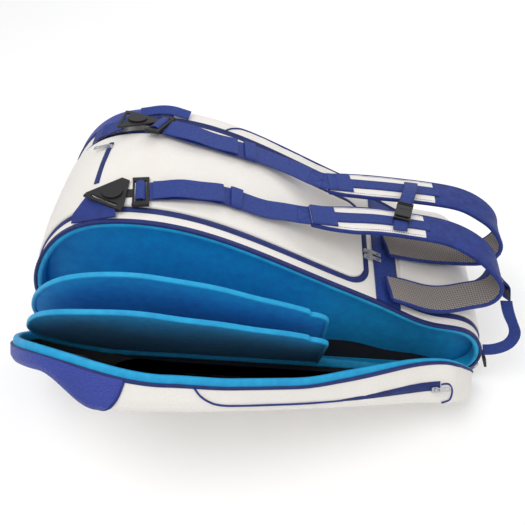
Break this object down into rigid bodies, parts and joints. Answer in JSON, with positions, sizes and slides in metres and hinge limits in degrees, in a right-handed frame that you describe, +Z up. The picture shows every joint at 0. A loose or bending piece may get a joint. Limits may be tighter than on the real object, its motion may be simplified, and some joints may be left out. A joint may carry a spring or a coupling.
{
  "type": "racket tournament bag",
  "caption": "Long racket bag with clamshell side compartments, fan dividers, zipped lid, folded-back shoulder straps, chest strap, swivel strap buckles and zip sliders.",
  "frame": {"origin": "centre of the flat belly that the bag stands on, midway between the two side zips", "axes": "+X from the wide head end to the narrow handle end, +Y from the open near side to the closed far side, +Z up to the strap side"},
  "size_m": [0.8407, 0.5581, 0.3784],
  "materials": {
    "white_cloth": "pebbled coated cloth",
    "navy_webbing": "woven webbing",
    "navy_tape": "zip tape with coil teeth",
    "navy_binding": "folded edge binding",
    "blue_lining": "smooth nylon lining",
    "bright_binding": "padded bright edge",
    "black_lining": "nylon lining",
    "blue_patch": "embossed weave",
    "pad_mesh": "spacer mesh and navy binding",
    "black_plastic": "moulded acetal",
    "silver_metal": "nickel plated die casting",
    "board": "stiffening board"
  },
  "bodies": {
    "bag": {"near_gusset": "white_cloth", "near_gusset_lining": "bright_binding", "near_rim_tape": "navy_tape", "far_gusset": "white_cloth", "far_rim_tape": "navy_tape", "near_back_wall": "blue_lining", "far_back_wall": "blue_lining", "middle_shell": "white_cloth", "lid_panel": "white_cloth", "lid_zip_tape": "navy_tape", "head_pocket_tape": "navy_tape", "neck_pocket_panel": "white_cloth", "neck_pocket_tape": "navy_tape", "anchor_band": "navy_webbing", "base_stiffener": "board", "shoulder_pad_a": "pad_mesh", "shoulder_pad_b": "pad_mesh", "webbing_a": "navy_webbing", "webbing_b": "navy_webbing", "load_lifter_a": "navy_webbing", "load_lifter_b": "navy_webbing", "swivel_frame_a": "black_plastic", "swivel_frame_b": "black_plastic", "strap_tab_a": "navy_webbing", "strap_tab_b": "navy_webbing", "lifter_clip_a": "black_plastic", "lid_near_way_slider": "silver_metal", "near_main_slider": "silver_metal", "far_end_tab": "navy_webbing"},
    "near_tray": {"near_tray_shell": "white_cloth", "near_tray_rim_tape": "navy_tape", "near_tray_edge_binding": "bright_binding", "near_tray_lining": "black_lining", "near_corner_patch": "blue_patch", "near_pocket_tape": "navy_tape"},
    "far_tray": {"far_tray_shell": "white_cloth", "far_tray_rim_tape": "navy_tape", "far_tray_edge_binding": "bright_binding"},
    "divider_one": {"divider_one": "blue_lining"},
    "divider_two": {"divider_two": "blue_lining"},
    "grab_handle": {"grab_handle": "navy_webbing"},
    "chest_near_half": {"chest_buckle_female": "black_plastic", "chest_webbing_a": "navy_webbing"},
    "chest_far_half": {"chest_buckle_male": "black_plastic", "chest_webbing_b": "navy_webbing"},
    "prong_left": {"buckle_prong_left": "black_plastic"},
    "prong_right": {"buckle_prong_right": "black_plastic"},
    "swivel_a": {"swivel_plate_a": "black_plastic"},
    "swivel_b": {"swivel_plate_b": "black_plastic"},
    "ladder_lock_a": {"ladder_lock_a": "black_plastic"},
    "ladder_lock_b": {"ladder_lock_b": "black_plastic"},
    "head_pocket_slider": {"head_pocket_slider": "silver_metal"},
    "head_pocket_pull": {"head_pocket_pull": "silver_metal"},
    "lid_far_way_slider": {"lid_far_way_slider": "silver_metal"},
    "lid_far_way_pull": {"lid_far_way_pull": "silver_metal"},
    "lid_near_way_pull": {"lid_near_way_pull": "silver_metal"},
    "near_main_pull": {"near_main_pull": "silver_metal"},
    "tray_pocket_slider": {"tray_pocket_slider": "silver_metal"},
    "tray_pocket_pull": {"tray_pocket_pull": "silver_metal"}
  },
  "joints": [
    {"name": "near_tray_fold", "type": "hinge", "parent": "bag", "child": "near_tray", "pos_m": [0, -0.1345, 0.018], "axis": [1, 0, 0], "range_deg": [-38, 0]},
    {"name": "divider_one_fold", "type": "hinge", "parent": "bag", "child": "divider_one", "pos_m": [0, -0.126, 0.025], "axis": [1, 0, 0], "range_deg": [-15.6, 0]},
    {"name": "divider_two_fold", "type": "hinge", "parent": "bag", "child": "divider_two", "pos_m": [0, -0.133, 0.022], "axis": [1, 0, 0], "range_deg": [-23.6, 0]},
    {"name": "far_tray_fold", "type": "hinge", "parent": "bag", "child": "far_tray", "pos_m": [0, 0.1345, 0.018], "axis": [-1, 0, 0], "range_deg": [0, 41.5]},
    {"name": "grab_handle_swing", "type": "hinge", "parent": "far_tray", "child": "grab_handle", "pos_m": [-0.196, 0.1352, 0.3545], "axis": [1, 0, 0], "range_deg": [0, 50]},
    {"name": "chest_strap_height", "type": "slide", "parent": "bag", "child": "chest_near_half", "axis": [0.989, 0, -0.148], "range_m": [-0.03, 0.02]},
    {"name": "chest_buckle_release", "type": "slide", "parent": "chest_near_half", "child": "chest_far_half", "axis": [0.262, 0.9651, 0], "range_m": [0, 0.014]},
    {"name": "prong_left_press", "type": "hinge", "parent": "chest_far_half", "child": "prong_left", "pos_m": [0.23142, 0.00688, 0.2832], "axis": [0, 0, 1], "range_deg": [-6, 0], "stiffness_Nm_per_rad": 0.05},
    {"name": "prong_right_press", "type": "hinge", "parent": "chest_far_half", "child": "prong_right", "pos_m": [0.21675, 0.01087, 0.2832], "axis": [0, 0, 1], "range_deg": [0, 6], "stiffness_Nm_per_rad": 0.05},
    {"name": "swivel_a_turn", "type": "hinge", "parent": "bag", "child": "swivel_a", "pos_m": [-0.248, -0.08, 0.3626], "axis": [0, 0, 1], "range_deg": [-5, 5]},
    {"name": "swivel_b_turn", "type": "hinge", "parent": "bag", "child": "swivel_b", "pos_m": [-0.243, 0.10772, 0.36703], "axis": [0, 0.2, 0.9798], "range_deg": [-5, 5]},
    {"name": "ladder_lock_a_tilt", "type": "hinge", "parent": "bag", "child": "ladder_lock_a", "pos_m": [0.4035, -0.088, 0.207], "axis": [-0.1686, -0.891, 0.4214], "range_deg": [0, 30]},
    {"name": "ladder_lock_b_tilt", "type": "hinge", "parent": "bag", "child": "ladder_lock_b", "pos_m": [0.412, 0.02, 0.205], "axis": [-0.0398, -0.9163, 0.3984], "range_deg": [0, 15]},
    {"name": "head_pocket_slide", "type": "slide", "parent": "bag", "child": "head_pocket_slider", "axis": [0, 1, 0], "range_m": [-0.085, 0]},
    {"name": "head_pocket_pull_flip", "type": "hinge", "parent": "head_pocket_slider", "child": "head_pocket_pull", "pos_m": [-0.28244, 0.047, 0.35526], "axis": [0, 1, 0], "range_deg": [0, 150]},
    {"name": "lid_far_way_slide", "type": "slide", "parent": "bag", "child": "lid_far_way_slider", "axis": [0, 1, 0], "range_m": [0, 0.072]},
    {"name": "lid_far_way_pull_flip", "type": "hinge", "parent": "lid_far_way_slider", "child": "lid_far_way_pull", "pos_m": [0.16965, -0.028, 0.219], "axis": [0, -1, 0], "range_deg": [0, 150]},
    {"name": "lid_near_way_pull_flip", "type": "hinge", "parent": "bag", "child": "lid_near_way_pull", "pos_m": [0.16965, -0.041, 0.219], "axis": [0, -1, 0], "range_deg": [0, 150]},
    {"name": "near_main_pull_flip", "type": "hinge", "parent": "bag", "child": "near_main_pull", "pos_m": [0.39095, -0.1304, 0.04324], "axis": [0, -1, 0], "range_deg": [0, 110]},
    {"name": "tray_pocket_slide", "type": "slide", "parent": "near_tray", "child": "tray_pocket_slider", "axis": [-0.9281, -0.3508, 0.1246], "range_m": [0, 0.014]},
    {"name": "tray_pocket_pull_flip", "type": "hinge", "parent": "tray_pocket_slider", "child": "tray_pocket_pull", "pos_m": [0.28568, -0.23839, 0.1149], "axis": [0.0867, -0.7309, -0.6769], "range_deg": [0, 150]}
  ],
  "couplings": [
    {"joint": "divider_one_fold", "follows": "near_tray_fold", "ratio": 0.41},
    {"joint": "divider_two_fold", "follows": "near_tray_fold", "ratio": 0.62}
  ]
}
